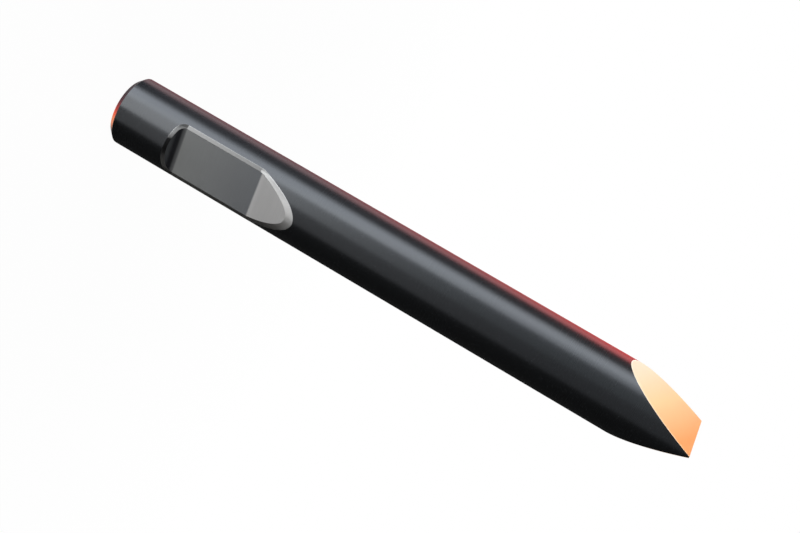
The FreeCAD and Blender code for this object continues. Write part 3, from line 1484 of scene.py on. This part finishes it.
@dataclass
class Studio:
    """Camera of the photograph, pale floor, soft lamps and the cards that draw the reflections."""

    camera_place: tuple[float, float, float] = (-1.03517879, -1.95433811, 0.95282485)
    camera_looks: tuple[float, float, float] = (0.46197835, 0.8721365, -0.16110226)
    camera_roll: float = math.radians(120.30525)
    lens: float = 56.394927
    sensor: float = 36.0
    world_light: float = 0.45
    floor_grey: float = 0.8
    floor_reach: float = 30.0
    floor_white: float = 0.97
    shadow_start: float = 0.5
    shadow_fade: float = 2.0
    lamps: tuple[Lamp, ...] = (
        Lamp("key lamp", (-2.3, -0.8, 0.6), 1.2, 38.0),
        Lamp("back lamp", (2.0, 1.2, 1.6), 2.0, 16.0),
    )
    cards: tuple[Card, ...] = (
        Card("dark side", -180.0, -52.0, (0.03, 0.03, 0.03), (0.03, 0.03, 0.03)),
        Card("front light", -52.0, -6.0, (0.9, 0.93, 0.98), (0.38, 0.4, 0.44), fade=0.9),
        Card("low glow", -6.0, 34.0, (4.3, 4.5, 4.75), (0.64, 0.71, 0.78), fade=1.0, bend=2.6),
        Card("strip edge", 34.0, 48.0, (5.5, 5.9, 6.4), (2.9, 3.15, 3.5), rise=0.3, fade=1.0),
        Card("strip light", 48.0, 69.0, (4.8, 5.2, 5.8), (4.95, 5.35, 5.9)),
        Card("strip end", 69.0, 79.0, (2.0, 2.15, 2.4), (2.8, 3.0, 3.3)),
        Card("gap", 79.0, 114.0, (0.26, 0.27, 0.32), (0.22, 0.22, 0.24)),
        Card("red light", 114.0, 138.0, (1.3, 0.9, 0.96), (5.0, 0.9, 0.92), rise=0.2, fade=1.1, bend=0.5),
        Card("red edge", 138.0, 160.0, (0.6, 0.3, 0.33), (2.6, 0.28, 0.27), rise=0.2, fade=1.1, bend=0.5),
        Card("red rim", 160.0, 180.0, (0.45, 0.12, 0.16), (1.9, 0.14, 0.14), rise=0.2, fade=1.1, bend=0.5),
    )

    def set_camera(self) -> None:
        """Puts the camera where the photograph was taken from, rolled about its line of sight."""
        data = bpy.data.cameras.new("camera")
        data.lens = self.lens
        data.sensor_width = self.sensor
        camera = bpy.data.objects.new("camera", data)
        bpy.context.scene.collection.objects.link(camera)
        camera.location = self.camera_place
        camera.rotation_mode = "QUATERNION"
        level = Vector(self.camera_looks).to_track_quat("-Z", "Y")
        camera.rotation_quaternion = level @ Quaternion((0.0, 0.0, 1.0), self.camera_roll)
        bpy.context.scene.camera = camera

    def white_share(self, graph: Graph) -> Value:
        """Share of the white background that a ray sees.

        Args:
            graph: Node tree that the share is for.

        Returns:
            1 for camera, glossy and transmission rays, which see the white background, and 0 for the others.
        """
        path = graph.node("ShaderNodeLightPath", output="Is Camera Ray")
        seen = graph.math("MAXIMUM", path, path.out("Is Glossy Ray"))
        return graph.math("MAXIMUM", seen, path.out("Is Transmission Ray"))

    def set_world(self) -> None:
        """White background, and a plain soft level of light."""
        world = bpy.data.worlds.new("studio")
        world.use_nodes = True
        bpy.context.scene.world = world
        graph = Graph(world.node_tree)
        strength = graph.mix(self.world_light, 1.0, self.white_share(graph))
        background = graph.node("ShaderNodeBackground", inputs={"Color": WHITE, "Strength": strength})
        graph.sink("ShaderNodeOutputWorld", background)

    def add_floor(self) -> None:
        """Pale floor under the striking face, which keeps a soft shadow of it."""
        mesh = bpy.data.meshes.new("floor")
        reach = self.floor_reach
        corners = [(-reach, -reach, 0.0), (reach, -reach, 0.0), (reach, reach, 0.0), (-reach, reach, 0.0)]
        mesh.from_pydata(corners, [], [(0, 1, 2, 3)])
        graph = ShaderGraph("floor")
        grey = (self.floor_grey, self.floor_grey, self.floor_grey, 1.0)
        diffuse = graph.node("ShaderNodeBsdfDiffuse", inputs={"Color": grey})
        white = graph.node("ShaderNodeEmission", inputs={"Color": WHITE, "Strength": 1.0})
        distance = graph.vector("LENGTH", graph.place, output=1)
        far = graph.math("MULTIPLY", distance - self.shadow_start, 1.0 / self.shadow_fade, clamp=True)
        share = self.white_share(graph) * graph.mix(self.floor_white, 1.0, far)
        surface = graph.node("ShaderNodeMixShader", inputs={0: share, 1: diffuse, 2: white})
        mesh.materials.append(graph.end(surface))
        floor = bpy.data.objects.new("floor", mesh)
        bpy.context.scene.collection.objects.link(floor)

    def build(self) -> None:
        """Sets the camera and the world, and builds floor, lamps and cards."""
        bpy.context.scene.view_settings.view_transform = "Standard"
        self.set_camera()
        self.set_world()
        self.add_floor()
        for piece in (*self.lamps, *self.cards):
            piece.build()


def main() -> None:
    """Builds the chisel and the studio."""
    logging.basicConfig(level=logging.INFO, format="%(name)s: %(message)s")
    materials = {finish: look.material() for finish, look in FINISHES.items()}
    piece = Chisel(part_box(NODE)).build(materials)
    log.info("built %s, %d faces, for node %s", piece.name, len(piece.data.polygons), NODE)
    Studio().build()


if __name__ == "__main__":
    main()
